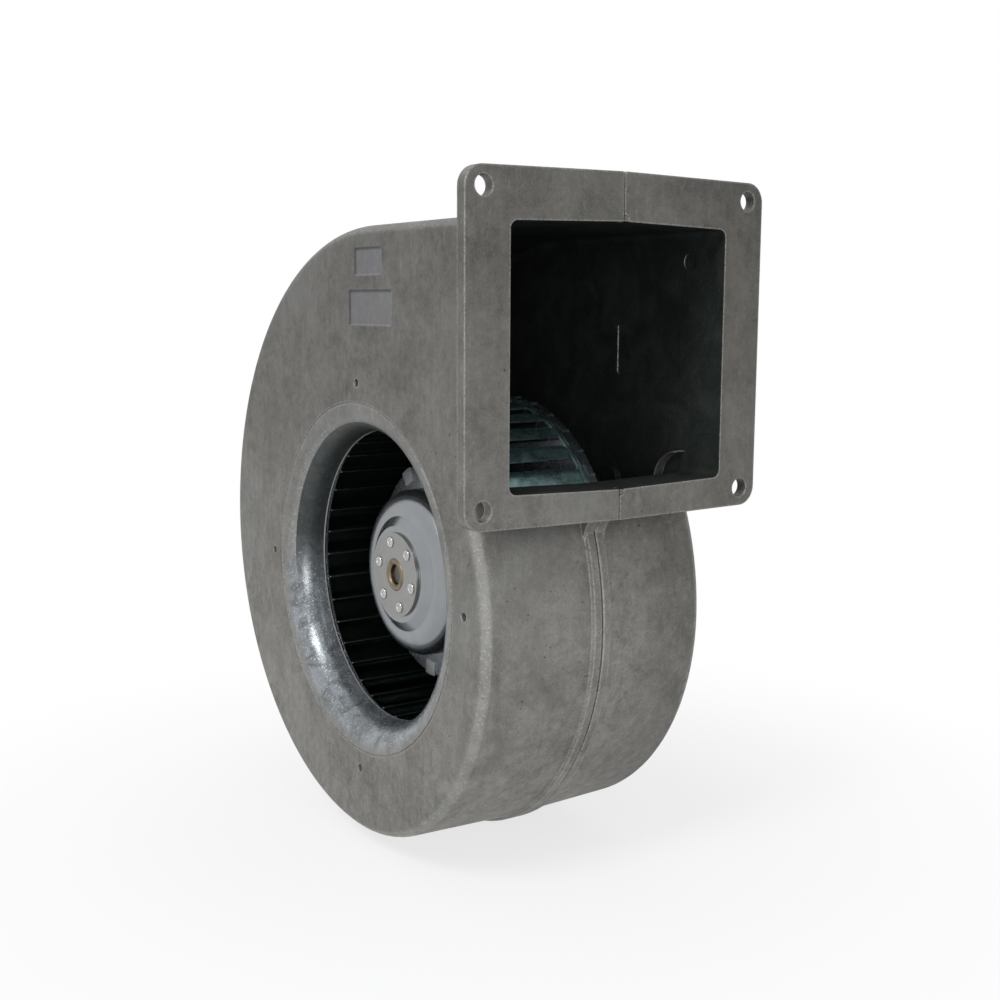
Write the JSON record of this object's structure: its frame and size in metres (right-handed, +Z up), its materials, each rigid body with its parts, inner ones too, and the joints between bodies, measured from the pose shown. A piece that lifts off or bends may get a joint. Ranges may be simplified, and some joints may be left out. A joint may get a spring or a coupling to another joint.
{
  "type": "dc blower fan",
  "caption": "Single-inlet centrifugal blower with a die-cast scroll housing in two halves, a square outlet flange, a forward-curved impeller and an external-rotor DC motor inside the hub.",
  "frame": {"origin": "centre of the outlet flange's front face, on the parting plane of the two housing halves", "axes": "+Z up, -Y the way the air leaves, +X along the fan axis from the inlet to the motor"},
  "size_m": [0.1296, 0.2305, 0.2646],
  "materials": {
    "cast_housing": "as die-cast, matt",
    "zinc_screws": "zinc plated",
    "coated_sheet": "zinc coated, semi-gloss",
    "zinc_sheet": "zinc plated",
    "plated_rotor": "satin plated",
    "steel": "ground",
    "bearing_steel": "polished",
    "bronze": "sintered",
    "cage_brass": "pressed",
    "ferrite": "sintered, matt",
    "laminations": "punched stack",
    "insulator": "moulded",
    "copper": "enamelled winding",
    "board": "laminate with varnish",
    "component": "moulded",
    "capacitor": "sleeved can",
    "connector": "moulded",
    "rubber": "matt"
  },
  "bodies": {
    "housing": {"housing_inlet_half": "cast_housing", "housing_motor_half": "cast_housing", "housing_screws": "zinc_screws", "motor_flange": "cast_housing", "motor_screws": "zinc_screws", "motor_cover": "cast_housing", "cover_screws": "zinc_screws", "cover_gasket": "rubber", "lead_grommet": "rubber", "stator_core": "laminations", "front_insulator": "insulator", "rear_insulator": "insulator", "coils": "copper", "hall_board": "board", "hall_sensors": "component", "phase_pins": "copper", "main_board": "board", "capacitors": "capacitor", "power_transistors": "component", "board_connector": "connector", "board_screws": "zinc_screws", "front_bearing_outer_ring": "bearing_steel", "rear_bearing_outer_ring": "bearing_steel", "preload_washer": "steel"},
    "rotor": {"impeller_blades": "coated_sheet", "blade_bands": "coated_sheet", "impeller_front_ring": "coated_sheet", "impeller_back_plate": "coated_sheet", "balance_clips": "zinc_sheet", "rotor_cup": "plated_rotor", "rotor_magnet": "ferrite", "rotor_hub_plate": "zinc_sheet", "hub_rivets": "zinc_sheet", "shaft_bush": "bronze", "rotor_shaft": "steel", "retaining_ring": "steel", "front_bearing_inner_ring": "bearing_steel", "rear_bearing_inner_ring": "bearing_steel"},
    "front_cage": {"front_bearing_cage": "cage_brass", "front_bearing_balls": "bearing_steel"},
    "rear_cage": {"rear_bearing_cage": "cage_brass", "rear_bearing_balls": "bearing_steel"}
  },
  "joints": [
    {"name": "rotor_spin", "type": "hinge", "parent": "housing", "child": "rotor", "pos_m": [0, 0.1006, -0.0931], "axis": [1, 0, 0], "continuous": true},
    {"name": "front_cage_spin", "type": "hinge", "parent": "housing", "child": "front_cage", "pos_m": [0, 0.1006, -0.0931], "axis": [1, 0, 0], "continuous": true},
    {"name": "rear_cage_spin", "type": "hinge", "parent": "housing", "child": "rear_cage", "pos_m": [0, 0.1006, -0.0931], "axis": [1, 0, 0], "continuous": true}
  ],
  "couplings": [
    {"joint": "front_cage_spin", "follows": "rotor_spin", "ratio": 0.37},
    {"joint": "rear_cage_spin", "follows": "rotor_spin", "ratio": 0.37}
  ]
}
